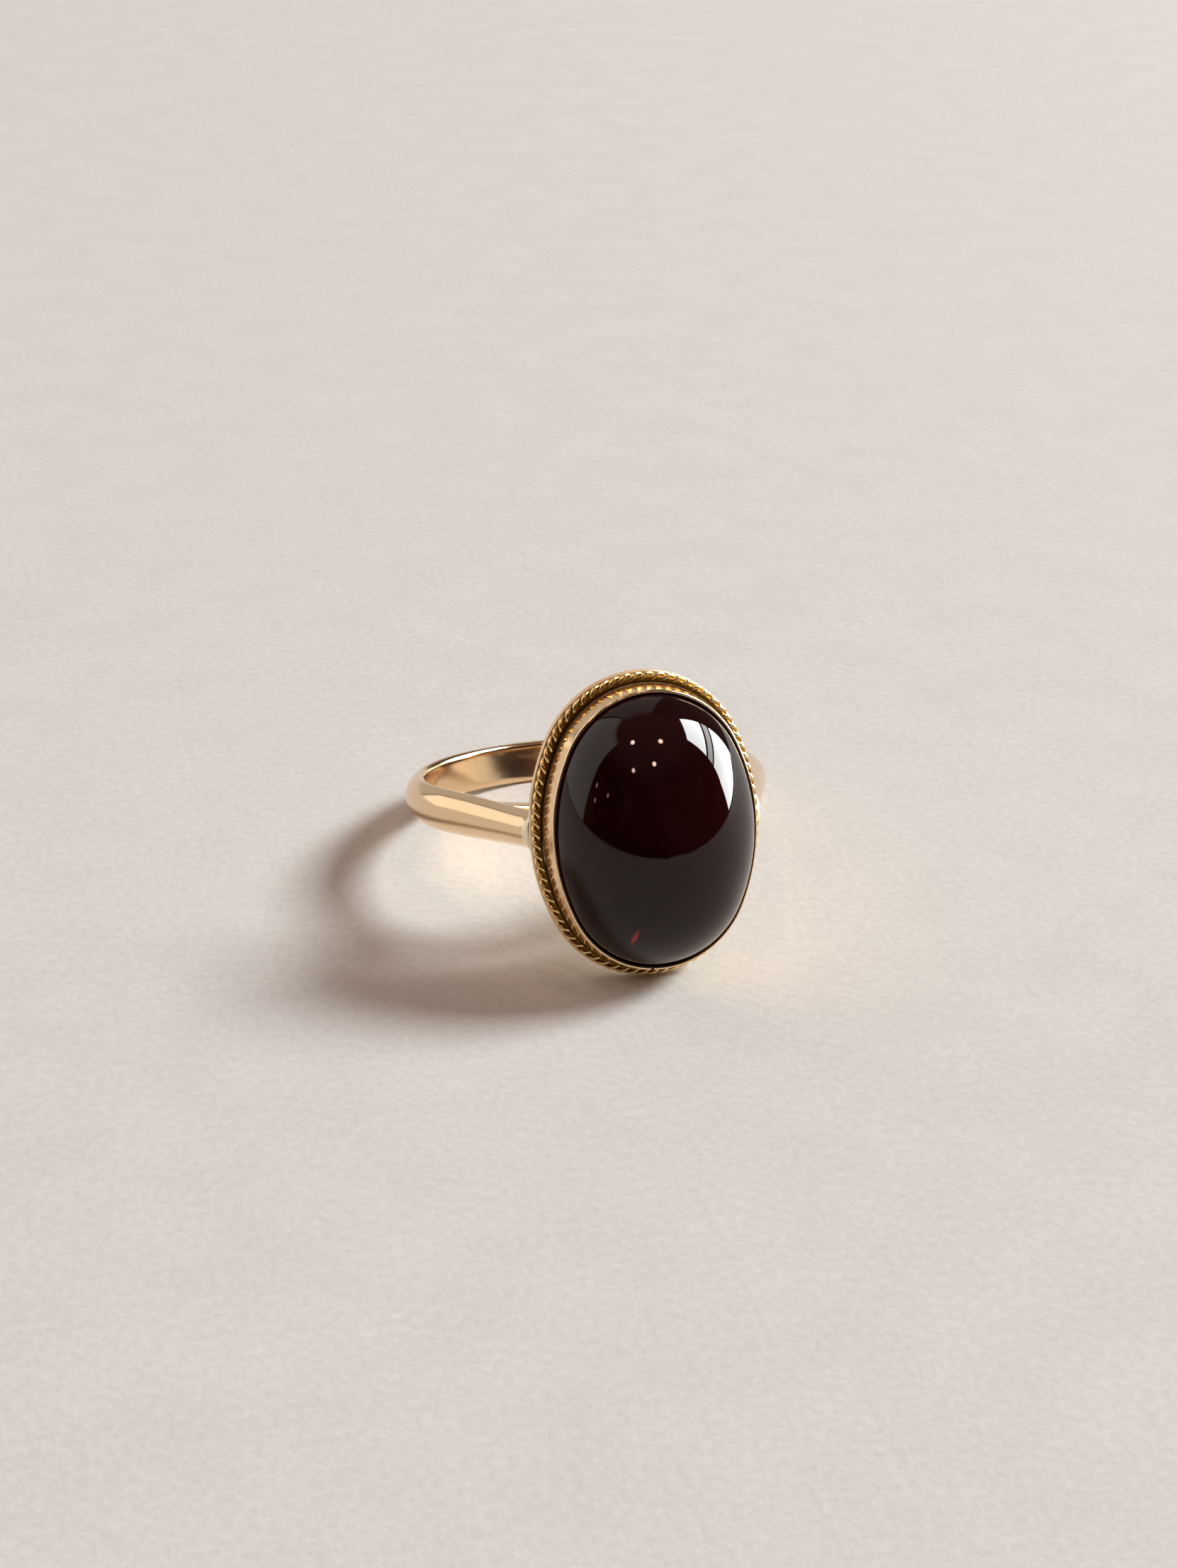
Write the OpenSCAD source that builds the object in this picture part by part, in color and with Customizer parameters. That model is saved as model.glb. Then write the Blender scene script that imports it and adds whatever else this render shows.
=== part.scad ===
// Ring with a large oval garnet cabochon in a smooth bezel, edged with twisted wire.
// Millimetres. The ring lies as it rests by itself: on the lower tip of its head and
// on the back of its shank, head towards -Y and tipped a little upwards.

/* [Finger hole and shank] */
// Diameter of the finger hole
finger_d = 17.2; // [15.6:0.1:20.6]
// Width of the shank along the finger
shank_w = 2.3; // [1.9:0.05:2.8]
// Thickness of the shank at the crown of its D section
shank_t = 1.08; // [0.95:0.01:1.25]
// Radius that rounds the two inner edges of the shank
shank_edge_r = 0.28; // [0.2:0.01:0.34]
// Angle from the head at which each shoulder leaves the circle and runs straight
shoulder_deg = 68; // [64:0.5:72]
// Width that each shoulder loses on the way to the head
shoulder_taper = 0.2; // [0.1:0.05:0.45]
// How far each shoulder stands proud of the round part where it starts
shoulder_step = 0.02; // [0.02:0.005:0.03]
// Length by which each shoulder laps over the end of the round part
shoulder_lap = 0.6; // [0.55:0.05:0.7]
// Thickness of the strip that carries the finger hole on behind the head
bridge_t = 0.6; // [0.5:0.05:0.75]
// Width of that strip in the middle, behind the head
bridge_w = 1.45; // [1:0.05:1.65]
// Reach of the solder foot along the shoulder
foot_reach = 0.8; // [0.5:0.05:1]
// How far the solder foot spreads on each side of the shoulder
foot_spread = 0.45; // [0.2:0.05:0.6]

/* [Head] */
// Height of the back plate above the finger hole
head_rise = 2.5; // [2.1:0.1:3.2]
// Thickness of the back plate
plate_t = 0.4; // [0.3:0.05:0.6]
// Bare edge of the plate outside the twisted wire
plate_lip = 0.06; // [0.03:0.01:0.15]
// Thickness of the bezel wall
bezel_t = 0.2; // [0.16:0.01:0.28]
// Height of the bezel rim above the plate
bezel_h = 1.77; // [1.5:0.01:2]
// How far the outside of the wall leans in up to the rim
bezel_lean = 0.07; // [0.04:0.01:0.1]
// Width of the little seam left open in the rim at the foot of the head
seam_w = 0.1; // [0.06:0.01:0.2]
// Depth of that seam
seam_h = 0.35; // [0.2:0.05:0.6]
// Sideways place of the seam from the middle of the head
seam_x = -0.55; // [-1.5:0.05:1.5]

/* [Twisted wire] */
// Diameter over both strands of the wire
rope_d = 0.46; // [0.36:0.01:0.56]
// Distance from one strand's turn to the next along the wire
rope_step = 0.55; // [0.46:0.01:0.8]

/* [Stone] */
// Length of the stone at its widest line
stone_l = 13.8; // [12:0.1:15]
// Width of the stone at its widest line
stone_w = 10.3; // [9.6:0.1:11]
// How much less the radius of the stone's two ends is than half its width
end_inset = 0.51; // [0.41:0.01:0.75]
// Height of the dome above the widest line
dome_h = 5; // [3.5:0.1:6]
// Height of the widest line above the flat base
girdle_h = 0.5; // [0.4:0.05:0.7]
// Bevel round the flat base
base_bevel = 0.2; // [0.1:0.05:0.3]

/* [Clearances] */
// Gap between the stone and the metal round and under it
stone_gap = 0.02; // [0.01:0.01:0.05]
// Gap between the twisted wire and the metal that it lies on
rope_gap = 0.02; // [0.01:0.01:0.05]

/* [Hidden] */
$fn = 96;

finger_r = finger_d / 2;

// D section of the shank: a large arc, a flat inner side and two small inner arcs.
// x is the height above the finger hole and y runs along the finger.
crown_x = shank_t * 0.3;
crown_h = shank_t - crown_x;
arc_r = (pow(shank_w / 2, 2) + pow(crown_h, 2)) / (2 * crown_h);
arc_x = shank_t - arc_r;
edge_y = sqrt(pow(arc_r - shank_edge_r, 2) - pow(shank_edge_r - arc_x, 2));
edge_dir = atan2(edge_y, shank_edge_r - arc_x);

// Oval outlines: four arcs that meet smoothly. Every outline of the head is the
// stone's outline moved outwards or inwards by a distance.
half_l = stone_l / 2;
half_w = stone_w / 2;
stone_end_r = half_w - end_inset;
end_c = half_l - stone_end_r;
side_r = (pow(end_c, 2) + pow(half_w, 2) - pow(stone_end_r, 2)) / (2 * end_inset);
side_c = side_r - half_w;
turn = atan2(end_c, side_c);

wall_in = stone_gap;
wall_out = wall_in + bezel_t;
rope_at = wall_out + rope_gap + rope_d / 2;
plate_at = rope_at + rope_d / 2 + plate_lip;
plate_back = finger_r + head_rise;
plate_front = plate_back + plate_t;

// Resting pose: the plate's lower back edge and the shank's lower inner edge arc
// both touch the surface.
tip_l = half_l + plate_at;
rest_y = plate_back + finger_r + shank_edge_r;
rest_z = tip_l - edge_y;
rest_tilt = atan2(rest_z, rest_y) - asin(shank_edge_r / norm([rest_y, rest_z]));
rest_lift = tip_l * cos(rest_tilt) - plate_back * sin(rest_tilt);
girdle_y = plate_front + stone_gap + girdle_h;
reach_front = girdle_y * cos(rest_tilt)
    + norm([dome_h * cos(rest_tilt), half_l * sin(rest_tilt)]);
reach_back = (finger_r + arc_x) * cos(rest_tilt) + arc_r;
rest_shift = (reach_front - reach_back) / 2;

module at_rest() {
    translate([0, rest_shift, rest_lift]) rotate([-rest_tilt, 0, 0]) children();
}

// The head is drawn lying flat, its length along y and its height along z
module on_head(h = 0) {
    translate([0, -plate_back - h, 0]) rotate([90, 0, 0]) children();
}

// The shank, its shoulders and the strip behind the head

module d_section(grow = 0) {
    edge_r = shank_edge_r + grow;
    far_x = shank_edge_r + 2 * arc_r * cos(edge_dir);
    far_y = edge_y + 2 * arc_r * sin(edge_dir);
    difference() {
        intersection() {
            translate([arc_x, 0]) circle(arc_r + grow);
            translate([-grow, -shank_w]) square([2 * shank_t, 2 * shank_w]);
        }
        for (s = [-1, 1]) polygon([[-1, s * edge_y], [shank_edge_r, s * edge_y],
            [far_x, s * far_y], [-1, s * far_y]]);
    }
    for (s = [-1, 1]) translate([shank_edge_r, s * edge_y]) circle(edge_r);
}

shoulder_y = finger_r * cos(shoulder_deg);
shoulder_run = (plate_back - shoulder_y) / sin(shoulder_deg);

// The round part of the shank is a whole hoop that is open between the shoulders
module shank_arc() {
    side = 2 * finger_r;
    difference() {
        rotate_extrude() translate([finger_r, 0]) d_section();
        translate([0, 0, -shank_w]) linear_extrude(2 * shank_w)
            polygon([[0, 0], [side * sin(shoulder_deg), -side * cos(shoulder_deg)],
                [side, -side], [-side, -side],
                [-side * sin(shoulder_deg), -side * cos(shoulder_deg)]]);
    }
}

// Two planes that take the given half width down by fall degrees from the place at y = 0
module side_cuts(half, fall, size) {
    for (s = [0, 1]) mirror([0, 0, s]) translate([0, 0, half]) rotate([fall, 0, 0])
        translate([-size, -2 * size, 0]) cube([2 * size, 2 * size, shank_w]);
}

// Straight shoulder, tangent to the circle, that gets narrower up to the back of the plate
// and ends in a foot of solder. It laps over the end of the round part.
module shoulder() {
    difference() {
        rotate([0, 0, shoulder_deg - 90]) rotate([90, 0, 0]) {
            translate([finger_r, 0, -shoulder_lap])
                linear_extrude(shoulder_lap + shoulder_run + shank_t) d_section(shoulder_step);
        }
        rotate([0, 0, shoulder_deg - 90]) side_cuts(shank_w / 2 + 2 * shoulder_step,
            atan2(shoulder_taper, shoulder_run), 2 * finger_r);
        translate([0, 0, -shank_w]) cylinder(h = 2 * shank_w, r = finger_r);
        behind_plate();
    }
    foot_r = shank_w / 2 - shoulder_taper;
    difference() {
        rotate([0, 0, shoulder_deg - 90]) rotate([90, 0, 0]) intersection() {
            translate([finger_r + shank_t * 0.45, 0, shoulder_run - foot_reach])
                cylinder(h = foot_reach + shank_t, r1 = foot_r * 0.9,
                    r2 = foot_r + foot_spread * (foot_reach + shank_t) / foot_reach);
            translate([finger_r, -2 * shank_w, 0])
                cube([shank_t * 0.9, 4 * shank_w, 2 * shoulder_run]);
        }
        behind_plate();
    }
}

// Everything beyond the middle of the back plate
module behind_plate() {
    translate([0, -plate_back - plate_t / 2 - 3 * shank_w, -2 * shank_w])
        cube([3 * finger_r, 3 * shank_w, 4 * shank_w]);
}

// Strip that carries the finger hole on behind the head, narrower towards the middle.
// It is a thin hoop, and elsewhere it lies inside the shank.
module bridge() {
    half = edge_y - 0.05;
    taper_y = shoulder_y - 0.4;
    difference() {
        rotate_extrude() translate([finger_r, -half]) square([bridge_t, 2 * half]);
        translate([0, -taper_y, 0]) side_cuts(half,
            atan2(half - bridge_w / 2, finger_r - taper_y), 2 * finger_r);
    }
}

// Back plate and bezel

module oval(d) {
    cut_y = (side_r + d) * sin(turn);
    intersection() {
        translate([side_c, 0]) circle(side_r + d);
        translate([-side_c, 0]) circle(side_r + d);
        translate([-side_r, -cut_y]) square([2 * side_r, 2 * cut_y]);
    }
    for (s = [-1, 1]) translate([0, s * end_c]) circle(stone_end_r + d);
}

// Sweeps a profile (x = distance outside the stone's outline, y = height) round the oval
module round_oval() {
    for (s = [0, 180]) rotate([0, 0, s]) {
        translate([-side_c, 0, 0]) rotate([0, 0, -turn]) rotate_extrude(angle = 2 * turn)
            translate([side_r, 0]) children();
        translate([0, end_c, 0]) rotate([0, 0, turn]) rotate_extrude(angle = 180 - 2 * turn)
            translate([stone_end_r, 0]) children();
    }
}

// How far the dome has drawn in at a height above its widest line
function dome_in(h) = half_w * (1 - sqrt(1 - pow(h / dome_h, 2)));

// The wall follows the dome inside, up to a rim that is burnished down onto it
module bezel_profile() {
    lean_from = plate_t + girdle_h + stone_gap;
    top = plate_t + bezel_h;
    rim = top - bezel_t * 0.3;
    half_rim = (lean_from + rim) / 2;
    rim_in = 2 * stone_gap - dome_in(rim - lean_from);
    polygon([[wall_in, plate_t / 2], [wall_out, plate_t / 2],
        [wall_out, lean_from], [wall_out - bezel_lean, top - bezel_t * 0.45],
        [wall_out - bezel_lean - bezel_t * 0.3, top - bezel_t * 0.08],
        [rim_in + bezel_t * 0.15, top], [rim_in, rim],
        [2 * stone_gap - dome_in(half_rim - lean_from), half_rim], [wall_in, lean_from]]);
}

module shank_and_bezel() {
    color("gold") at_rest() {
        shank_arc();
        bridge();
        for (s = [0, 1]) mirror([s, 0, 0]) shoulder();
        difference() {
            on_head() {
                linear_extrude(plate_t) oval(plate_at);
                round_oval() bezel_profile();
            }
            on_head(plate_t + bezel_h - seam_h)
                translate([seam_x - seam_w / 2, -half_l - plate_at, 0])
                    cube([seam_w, plate_at + 2 * bezel_t, seam_h + bezel_h]);
        }
    }
}

// The twisted wire, two strands laid round the foot of the bezel

function oval_point(a, d) =
    abs(sin(a)) < sin(turn)
    ? [-side_c * sign(cos(a)) + (side_r + d) * cos(a), (side_r + d) * sin(a)]
    : [(stone_end_r + d) * cos(a), end_c * sign(sin(a)) + (stone_end_r + d) * sin(a)];

rope_side = (side_r + rope_at) * turn * PI / 180;
rope_end = (stone_end_r + rope_at) * (90 - turn) * PI / 180;
rope_quarter = rope_side + rope_end;
function quarter_angle(s) = s < rope_side
    ? s / (side_r + rope_at) * 180 / PI
    : turn + (s - rope_side) / (stone_end_r + rope_at) * 180 / PI;
function rope_angle(s) =
    let (q = floor(s / rope_quarter), t = s - q * rope_quarter)
    q % 2 == 0 ? 90 * q + quarter_angle(t) : 90 * (q + 1) - quarter_angle(rope_quarter - t);

rope_turns = round(4 * rope_quarter / rope_step);
rope_rings = rope_turns * 6;
strand_r = rope_d / 4;
// Two touching strands, soldered along their seam, as one ten-sided outline
rope_outline = [for (s = [0, 180]) for (a = [-104, -52, 0, 52, 104])
    let (c = strand_r * [cos(a) + 1, sin(a)]) s == 0 ? c : -c];

module twisted_wire() {
    m = len(rope_outline);
    pts = [for (i = [0:rope_rings - 1])
        let (a = rope_angle(4 * rope_quarter * i / rope_rings), p = oval_point(a, rope_at),
            w = 180 * rope_turns * i / rope_rings)
        for (c = rope_outline)
            let (u = c[0] * cos(w) - c[1] * sin(w), v = c[0] * sin(w) + c[1] * cos(w))
            [p[0] + u * cos(a), p[1] + u * sin(a), v + plate_t + rope_gap + rope_d / 2]];
    faces = [for (i = [0:rope_rings - 1]) for (j = [0:m - 1])
        let (i2 = (i + 1) % rope_rings, shift = i2 == 0 ? (rope_turns % 2) * m / 2 : 0,
            j2 = (j + 1) % m,
            p = i * m + j, q = i * m + j2,
            r = i2 * m + (j2 + shift) % m, t = i2 * m + (j + shift) % m)
        each [[p, q, t], [q, r, t]]];
    color("darkgoldenrod") at_rest() on_head() polyhedron(pts, faces, convexity = 10);
}

// The stone

stone_sides = 48;
// Rings of the stone: share of the outline, bevel moved in, height above the base
dome_steps = [0, 9, 18, 28, 39, 50, 61, 71, 79, 85];
stone_rings = concat([[1, -base_bevel, 0], [1, -base_bevel * 0.25, girdle_h * 0.45]],
    [for (t = dome_steps) [cos(t), 0, girdle_h + dome_h * sin(t)]]);

module cabochon() {
    n = stone_sides;
    k = len(stone_rings);
    pts = concat([for (r = stone_rings) for (i = [0:n - 1])
            let (p = r[0] * oval_point(360 * i / n, r[1])) [p[0], p[1], r[2]]],
        [[0, 0, girdle_h + dome_h]]);
    faces = concat([[for (i = [0:n - 1]) i]],
        [for (j = [0:k - 2]) for (i = [0:n - 1])
            let (a = j * n + i, b = j * n + (i + 1) % n) each [[a, a + n, b], [b, a + n, b + n]]],
        [for (i = [0:n - 1]) [(k - 1) * n + i, k * n, (k - 1) * n + (i + 1) % n]]);
    color("maroon") at_rest() on_head(plate_t + stone_gap)
        polyhedron(pts, faces, convexity = 4);
}

shank_and_bezel();
twisted_wire();
cabochon();
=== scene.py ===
"""Dresses the cabochon ring: polished gold, twisted wire, a dark red stone and a soft studio."""

import math

import bpy
import numpy as np
from bpy.props import FloatProperty, FloatVectorProperty, IntProperty, PointerProperty
from mathutils import Matrix, Vector


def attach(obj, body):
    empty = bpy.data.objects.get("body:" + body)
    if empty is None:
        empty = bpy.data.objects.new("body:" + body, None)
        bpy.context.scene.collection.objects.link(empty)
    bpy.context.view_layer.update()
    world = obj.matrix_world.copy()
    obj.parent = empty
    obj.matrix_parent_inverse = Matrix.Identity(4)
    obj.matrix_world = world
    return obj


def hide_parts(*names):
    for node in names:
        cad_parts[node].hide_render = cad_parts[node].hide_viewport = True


bl_info = {
    "name": "Cabochon Ring",
    "version": (1, 0, 0),
    "blender": (4, 5, 0),
    "location": "3D View > Sidebar > Ring",
    "description": "Builds an oval cabochon ring with a twisted wire edge, and its studio",
    "category": "Object",
}

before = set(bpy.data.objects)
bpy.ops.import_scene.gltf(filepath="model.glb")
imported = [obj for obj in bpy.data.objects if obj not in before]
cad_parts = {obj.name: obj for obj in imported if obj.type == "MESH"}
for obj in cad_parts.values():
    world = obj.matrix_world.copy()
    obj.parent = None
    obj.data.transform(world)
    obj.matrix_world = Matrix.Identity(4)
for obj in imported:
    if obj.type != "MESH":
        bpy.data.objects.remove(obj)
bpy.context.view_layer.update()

MM = 0.001
SEED = 7
CROWDED_AT = -0.17  # radians from the head's right side towards its top


# Where the ring lies


def rest_matrix():
    """From the ring's own frame in millimetres, finger along Z and head at -Y, to the floor."""
    head = bpy.context.scene.ring_head
    turn = Matrix.Rotation(-head.lie_tilt, 4, "X")
    lift = Matrix.Translation((0, head.lie_shift, head.lie_lift))
    return Matrix.Scale(MM, 4) @ lift @ turn


def head_matrix():
    """From the head's frame, length along y and height along z, to the floor."""
    head = bpy.context.scene.ring_head
    stand = Matrix.Rotation(math.pi / 2, 4, "X")
    return rest_matrix() @ Matrix.Translation((0, -head.plate_back, 0)) @ stand


def setting_matrix():
    """The head's frame moved to where the stone and its wall sit on the plate."""
    head = bpy.context.scene.ring_head
    return head_matrix() @ Matrix.Translation((head.aside, -head.down, 0))


def crowding(angle):
    """From 0 to 1 towards the head's right side, where wire and plate edge lie closer in."""
    return np.clip(np.cos(np.asarray(angle) - CROWDED_AT), 0, 1) ** 2


# Meshes


def new_piece(name, points, faces, matrix, material, marks=None):
    """One closed, smooth piece. marks is a dictionary of numbers at each point."""
    mesh = bpy.data.meshes.new(name)
    mesh.from_pydata([tuple(p) for p in points], [], faces)
    mesh.transform(matrix)
    for mark, numbers in (marks or {}).items():
        layer = mesh.attributes.new(mark, "FLOAT", "POINT")
        layer.data.foreach_set("value", np.asarray(numbers, np.float32))
    mesh.materials.append(material)
    mesh.polygons.foreach_set("use_smooth", [True] * len(mesh.polygons))
    mesh.update()
    piece = bpy.data.objects.new(name, mesh)
    bpy.context.collection.objects.link(piece)
    finish_piece(piece)
    return piece


def finish_piece(piece):
    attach(piece, "root")


def tube_faces(rings, sides, closed):
    """Quads over rings of points; an open tube gets a flat cap at both ends."""
    faces = []
    for i in range(rings if closed else rings - 1):
        a, b = i * sides, (i + 1) % rings * sides
        for j in range(sides):
            k = (j + 1) % sides
            faces.append((a + j, a + k, b + k, b + j))
    if not closed:
        faces.append(tuple(range(sides))[::-1])
        faces.append(tuple((rings - 1) * sides + j for j in range(sides)))
    return faces


def facing_out(points, faces):
    """Turns the faces round if the piece is inside out."""
    p = np.asarray(points, float)
    volume = 0.0
    for f in faces:
        for i in range(1, len(f) - 1):
            volume += np.dot(p[f[0]], np.cross(p[f[i]], p[f[i + 1]]))
    return faces if volume > 0 else [tuple(reversed(f)) for f in faces]


def ease(x):
    x = np.clip(x, 0.0, 1.0)
    return x * x * (3 - 2 * x)


class Wobble:
    """Smooth unevenness round a closed line, as a few sine waves with seeded phases."""

    def __init__(self, seed, waves=(2, 3, 5, 8, 13)):
        rng = np.random.default_rng(SEED + seed)
        self.waves = [(n, rng.uniform(0, 2 * np.pi), rng.uniform(0.5, 1) / n**0.5) for n in waves]

    def __call__(self, angle):
        return sum(size * np.sin(n * angle + start) for n, start, size in self.waves)


# Outlines


class Oval:
    """The four arcs of the stone's outline, and every outline at a distance from it."""

    def __init__(self, stone):
        self.half_l, self.half_w, self.end_r = stone.length / 2, stone.width / 2, stone.end_r
        self.end_c = self.half_l - self.end_r
        short = self.half_w - self.end_r
        self.side_r = (self.end_c**2 + self.half_w**2 - self.end_r**2) / (2 * short)
        self.side_c = self.side_r - self.half_w
        self.turn = math.atan2(self.end_c, self.side_c)

    def points(self, angle, out):
        """Points whose outward direction is at the given angles, out from the stone's outline."""
        angle, out = np.broadcast_arrays(np.asarray(angle, float), np.asarray(out, float))
        c, s = np.cos(angle), np.sin(angle)
        side = np.abs(s) < math.sin(self.turn)
        x = np.where(side, -self.side_c * np.sign(c) + (self.side_r + out) * c,
                     (self.end_r + out) * c)
        y = np.where(side, (self.side_r + out) * s,
                     self.end_c * np.sign(s) + (self.end_r + out) * s)
        return x, y

    def even_angles(self, count, out):
        """Angles that step evenly along the outline."""
        fine = np.linspace(0, 2 * np.pi, 20001)
        x, y = self.points(fine, out)
        run = np.concatenate([[0], np.cumsum(np.hypot(np.diff(x), np.diff(y)))])
        return np.interp(np.linspace(0, run[-1], count, endpoint=False), run, fine), run[-1]


def round_oval(oval, angles, shape):
    """A profile swept round the oval. shape(angles) gives lists of distances and heights."""
    out, height = shape(angles)
    points = np.zeros((len(angles), len(out), 3))
    for j in range(len(out)):
        points[:, j, 0], points[:, j, 1] = oval.points(angles, out[j])
        points[:, j, 2] = height[j]
    return points


def d_outline(shank):
    """The shank's D section: height over the finger, width along it and outward direction."""
    crown_h = shank.thickness * 0.7
    arc_r = ((shank.width / 2) ** 2 + crown_h**2) / (2 * crown_h)
    arc_x, edge = shank.thickness - arc_r, shank.edge_r
    edge_y = math.sqrt((arc_r - edge) ** 2 - (edge - arc_x) ** 2)
    edge_dir = math.atan2(edge_y, edge - arc_x)
    rows = []
    for v in np.linspace(-edge_dir, edge_dir, 29):
        rows.append((arc_x + arc_r * math.cos(v), arc_r * math.sin(v), v))
    for v in np.linspace(edge_dir, math.pi, 12)[1:]:
        rows.append((edge + edge * math.cos(v), edge_y + edge * math.sin(v), v))
    for w in np.linspace(edge_y, -edge_y, 12)[1:-1]:
        rows.append((0.0, w, math.pi))
    for v in np.linspace(-math.pi, -edge_dir, 12)[:-1]:
        rows.append((edge + edge * math.cos(v), -edge_y + edge * math.sin(v), v))
    return np.array(rows), edge_y


# Node trees


class Link:
    """A node's output. Python sums on it add Math nodes."""

    def __init__(self, tree, socket):
        self.tree, self.socket = tree, socket

    def __add__(self, other):
        return self.tree.maths("ADD", self, other)

    def __sub__(self, other):
        return self.tree.maths("SUBTRACT", self, other)

    def __neg__(self):
        return self.tree.maths("MULTIPLY", self, -1.0)

    def __rsub__(self, other):
        return self.tree.maths("SUBTRACT", other, self)

    def __mul__(self, other):
        return self.tree.maths("MULTIPLY", self, other)

    def __truediv__(self, other):
        return self.tree.maths("DIVIDE", self, other)

    __radd__, __rmul__ = __add__, __mul__


class Nodes:
    """Adds nodes to a shader or geometry tree."""

    def __init__(self, tree):
        self.tree = tree

    def add(self, kind, settings=None, inputs=None, out=0):
        """Adds a node, sets it up, fills its sockets, and gives back one of its outputs."""
        node = self.tree.nodes.new(kind)
        for key, value in (settings or {}).items():
            setattr(node, key, value)
        for key, value in (inputs or {}).items():
            socket = node.inputs[key]
            if isinstance(value, Link):
                self.tree.links.new(value.socket, socket)
            elif hasattr(socket.default_value, "__len__") and len(socket.default_value) == 4:
                socket.default_value = (*value, 1.0)
            else:
                socket.default_value = value
        return Link(self, node.outputs[out])

    def maths(self, operation, *terms):
        return self.add("ShaderNodeMath", {"operation": operation}, dict(enumerate(terms)))

    def ease(self, value, low, high, start=0.0, end=1.0):
        """Goes smoothly from start to end while value goes from low to high."""
        return self.add("ShaderNodeMapRange", {"interpolation_type": "SMOOTHSTEP"},
                        {"Value": value, "From Min": low, "From Max": high,
                         "To Min": start, "To Max": end})

    def noise(self, where, scale, detail=3.0, roughness=0.5, distortion=0.0):
        return self.add("ShaderNodeTexNoise", None,
                        {"Vector": where, "Scale": scale, "Detail": detail,
                         "Roughness": roughness, "Distortion": distortion})

    def mix(self, factor, first, second):
        """Mixes two colours."""
        return self.add("ShaderNodeMix", {"data_type": "RGBA"},
                        {"Factor": factor, 6: first, 7: second}, out=2)

    def vector(self, operation, *terms, out=0):
        return self.add("ShaderNodeVectorMath", {"operation": operation},
                        dict(enumerate(terms)), out=out)

    def scaled(self, vector, factor):
        return self.add("ShaderNodeVectorMath", {"operation": "SCALE"},
                        {0: vector, "Scale": factor})


class Finish(Nodes):
    """A material with one main shader."""

    def __init__(self, name):
        self.material = bpy.data.materials.new(name)
        self.material.use_nodes = True
        super().__init__(self.material.node_tree)
        self.shader = self.tree.nodes["Principled BSDF"]
        self.place = self.add("ShaderNodeTexCoord", out="Object")

    def set(self, **sockets):
        for key, value in sockets.items():
            socket = self.shader.inputs[key.replace("_", " ")]
            if isinstance(value, Link):
                self.tree.links.new(value.socket, socket)
            else:
                socket.default_value = value

    def mark(self, name):
        return self.add("ShaderNodeAttribute", {"attribute_name": name}, out="Fac")

    def bump(self, height, distance, normal=None):
        """Distance is in millimetres."""
        inputs = {"Height": height, "Distance": distance * MM, "Strength": 1.0}
        if normal:
            inputs["Normal"] = normal
        return self.add("ShaderNodeBump", None, inputs)


# Materials


def polished_gold(name, polish, tone=1.0):
    """Worn polished gold with pale solder, dirt and painted shade in the corners, and fine
    scratches.
    """
    finish = bpy.context.scene.ring_finish
    gold, solder, dirt = finish.gold, finish.solder, finish.dirt
    m = Finish(name)
    p = m.place
    patch = m.noise(p, 420, 4, 0.55)
    cloud = m.noise(p, 95, 2)
    deep = [c * k for c, k in zip(gold, (0.94, 0.86, 0.76))]
    metal = m.mix(m.ease(cloud, 0.35, 0.68), [c * tone for c in gold], [c * tone for c in deep])
    grain = m.noise(p, 2600, 3, 0.6)
    soldered = m.ease(m.mark("solder") + (patch - 0.5) * 0.7, 0.42, 0.58)
    metal = m.mix(soldered, metal, solder)
    # dirt and painted shade: where the piece's dirt mark is set, the gold turns dark, rough and
    # less metallic
    dirt_and_shade_mask = m.ease(m.mark("dirt") + (grain - 0.5) * 0.5, 0.3, 0.7)
    metal = m.mix(dirt_and_shade_mask, metal, dirt)
    # fine scratches: thin bands of stretched noise laid two ways
    scratch = None
    for turn, size in (((0.3, 0.2, 0.9), (60, 2400, 900)), ((1.1, -0.4, 0.2), (2100, 70, 1300))):
        lines = m.add("ShaderNodeMapping", None, {"Vector": p, "Rotation": turn, "Scale": size})
        line = m.ease(m.noise(lines, 1.0, 2, 0.5), 0.62, 0.7)
        scratch = line if scratch is None else m.maths("MAXIMUM", scratch, line)
    pits = m.add("ShaderNodeTexVoronoi", None, {"Vector": p, "Scale": 2300.0})
    pit = m.ease(pits, 0.05, 0.2, 1.0, 0.0) * soldered
    rough = polish + (patch - 0.5) * polish * 0.7 + scratch * 0.05 + soldered * 0.3
    rough = rough + dirt_and_shade_mask * 0.3
    wave = m.bump(m.noise(p, 290, 1), 0.05)
    fine = m.bump(grain * 0.4 - scratch * 0.5 - pit * 5, 0.0016, normal=wave)
    m.set(Base_Color=metal, Metallic=1.0 - dirt_and_shade_mask * 0.85, Roughness=rough, Normal=fine,
          Specular_IOR_Level=0.1)
    return m.material


def wire_gold():
    """The twisted wire: bright where the strands stand out, dark between them with grease and
    painted shade.
    """
    finish = bpy.context.scene.ring_finish
    m = Finish("twisted_wire_gold")
    p = m.place
    grain = m.noise(p, 1900, 3, 0.6)
    crest = m.mark("crest") + (grain - 0.5) * 0.12 + (m.noise(p, 350, 2) - 0.5) * 0.3
    # painted shade with grease: the colour darkens towards the wire's middle, between the strands
    shaded_groove = m.mix(m.ease(crest, 0.4, 0.62), finish.dirt, finish.shaded_groove)
    metal = m.mix(m.ease(crest, 0.66, 0.92), shaded_groove, finish.wire)
    soldered = m.ease(m.mark("solder") + (m.noise(p, 420, 4) - 0.5) * 0.6, 0.42, 0.6)
    metal = m.mix(soldered, metal, finish.solder)
    rough = m.ease(crest, 0.45, 0.9, 0.5, 0.2)
    m.set(Base_Color=metal, Metallic=1.0, Roughness=rough,
          Normal=m.bump(grain, 0.004))
    return m.material


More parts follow.
